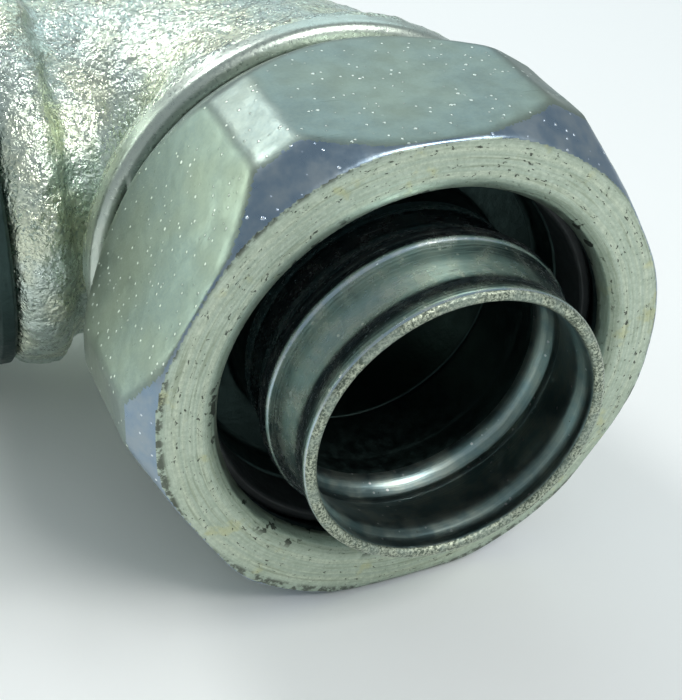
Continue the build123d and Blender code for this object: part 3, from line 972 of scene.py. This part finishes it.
class CONDUIT_OT_locknut(bpy.types.Operator):
    """Build the locknut with its lugs, thinned at their outer ends"""

    bl_idname = "conduit.locknut"
    bl_label = "Locknut"

    LUGS = 8

    def execute(self, context):
        s = sizes()
        near, far = LOCKNUT_NEAR, LOCKNUT_FAR
        edge, lug, bore = s["locknut_radius"], s["lug_radius"], LOCKNUT_BORE
        corners = [(bore, near + 0.5, 0.25), (bore, far - 0.5, 0.25), (bore + 0.5, far, 0.25),
                   (edge - 0.9, far, 0.3), (edge, far - 0.9, 0.4), (edge, near + 0.8, 0.35),
                   (edge - 0.6, near, 0.3), (bore + 0.5, near, 0.25)]

        def shape(radius, angle, along):
            wave = np.cos(self.LUGS * (angle - math.pi / self.LUGS))
            raised = np.clip((wave - 0.50) / 0.22, 0, 1)
            raised = raised ** 2 * (3 - 2 * raised)
            outer = np.clip((radius - (edge - 1.2)) / 1.2, 0, 1)
            middle = (near + far) / 2
            slim = 1 - 0.22 * raised * outer
            return radius + (lug - edge) * raised * outer, middle + (along - middle) * slim

        points, quads = turn(rounded(corners, 5, 0.35), to_hub, 480, shape)
        make_piece("locknut_ring", points, quads, "locknut", ["locknut"],
                   [once(machined_zinc)])
        return {"FINISHED"}


# ---------------------------------------------------------------- stage

class CONDUIT_OT_stage(bpy.types.Operator):
    """Set the paper floor, the soft lights and the camera"""

    bl_idname = "conduit.stage"
    bl_label = "Stage"

    LENS = 66.857
    SENSOR = 36.0
    CAMERA = (-14.2, -120.9, 63.9)
    AIM = (21.8, -46.0, 3.3)
    ROLL = 4.33
    SHIFT = (-0.0237, 0.0237)

    def execute(self, context):
        self.floor()
        self.camera()
        mouth = Vector((GLAND_X, -NUT_FRONT / 2, 0)) * MM
        self.softbox("key", (-110, 260, 330), 130, 0.62, (1.0, 1.0, 1.0), mouth)
        self.softbox("back", (168, 257, 236), 280, 0.19, (0.74, 0.94, 1.0), mouth)
        self.softbox("left", (-250, 230, 70), 200, 0.32, (0.90, 1.0, 0.88), mouth)
        self.softbox("front", (150, -250, 300), 190, 0.75, (1.0, 1.0, 0.97), mouth)
        self.surroundings()
        return {"FINISHED"}

    def floor(self):
        lines = 31
        across = np.linspace(-1500, 1500, lines)
        x, y = np.meshgrid(across, across, indexing="ij")
        points = np.stack([x, y, np.full_like(x, FLOOR_Z - 0.01)], -1).reshape(-1, 3)
        quads = ring_quads(lines, lines)
        number = np.arange(len(quads))
        keep = (number % lines != lines - 1) & (number < (lines - 1) * lines)
        mesh = bpy.data.meshes.new("paper_floor")
        mesh.from_pydata((points * MM).tolist(), [], quads[keep].tolist())
        mesh.materials.append(once(studio_paper))
        floor = bpy.data.objects.new("paper_floor", mesh)
        bpy.context.scene.collection.objects.link(floor)

    def softbox(self, name, place, size, power, tint, target):
        data = bpy.data.lights.new(name, "AREA")
        data.shape, data.size, data.energy, data.color = "DISK", size * MM, power, tint
        lamp = bpy.data.objects.new(name, data)
        lamp.location = Vector(place) * MM
        lamp.rotation_mode = "QUATERNION"
        lamp.rotation_quaternion = (target - lamp.location).to_track_quat("-Z", "Y")
        bpy.context.scene.collection.objects.link(lamp)

    def camera(self):
        data = bpy.data.cameras.new("camera")
        data.lens, data.sensor_width = self.LENS, self.SENSOR
        data.shift_x, data.shift_y = self.SHIFT
        data.clip_start, data.clip_end = 0.005, 20
        camera = bpy.data.objects.new("camera", data)
        camera.location = Vector(self.CAMERA) * MM
        aim = (Vector(self.AIM) - Vector(self.CAMERA)).to_track_quat("-Z", "Y").to_matrix()
        roll = Matrix.Rotation(math.radians(self.ROLL), 3, "Z")
        camera.rotation_mode = "QUATERNION"
        camera.rotation_quaternion = (aim @ roll).to_quaternion()
        bpy.context.scene.collection.objects.link(camera)
        bpy.context.scene.camera = camera

    def surroundings(self):
        world = bpy.data.worlds.new("studio")
        world.use_nodes = True
        back = world.node_tree.nodes["Background"]
        back.inputs["Color"].default_value = (0.84, 0.94, 1.0, 1.0)
        back.inputs["Strength"].default_value = 0.42
        bpy.context.scene.world = world
        bpy.context.scene.view_settings.view_transform = "Standard"


# ---------------------------------------------------------------- the add-on

class CONDUIT_PT_panel(bpy.types.Panel):
    bl_idname = "CONDUIT_PT_panel"
    bl_label = "Conduit elbow connector"
    bl_space_type = "VIEW_3D"
    bl_region_type = "UI"
    bl_category = "Conduit"

    def draw(self, context):
        for operator in OPERATORS:
            self.layout.operator(operator.bl_idname)
        for group in (context.scene.fitting_sizes, context.scene.fitting_finish):
            column = self.layout.column()
            for name in group.__annotations__:
                column.prop(group, name)


OPERATORS = (CONDUIT_OT_casting, CONDUIT_OT_gland_nut, CONDUIT_OT_ferrule, CONDUIT_OT_sealing_ring,
             CONDUIT_OT_throat_liner, CONDUIT_OT_gasket, CONDUIT_OT_locknut, CONDUIT_OT_stage)
CLASSES = (FittingSizes, FittingFinish, *OPERATORS, CONDUIT_PT_panel)


def register():
    for item in CLASSES:
        bpy.utils.register_class(item)
    bpy.types.Scene.fitting_sizes = bpy.props.PointerProperty(type=FittingSizes)
    bpy.types.Scene.fitting_finish = bpy.props.PointerProperty(type=FittingFinish)


def unregister():
    del bpy.types.Scene.fitting_finish
    del bpy.types.Scene.fitting_sizes
    for item in reversed(CLASSES):
        bpy.utils.unregister_class(item)


def main():
    register()
    for operator in OPERATORS:
        area, name = operator.bl_idname.split(".")
        getattr(getattr(bpy.ops, area), name)()
    bpy.context.view_layer.update()


if __name__ == "__main__":
    main()
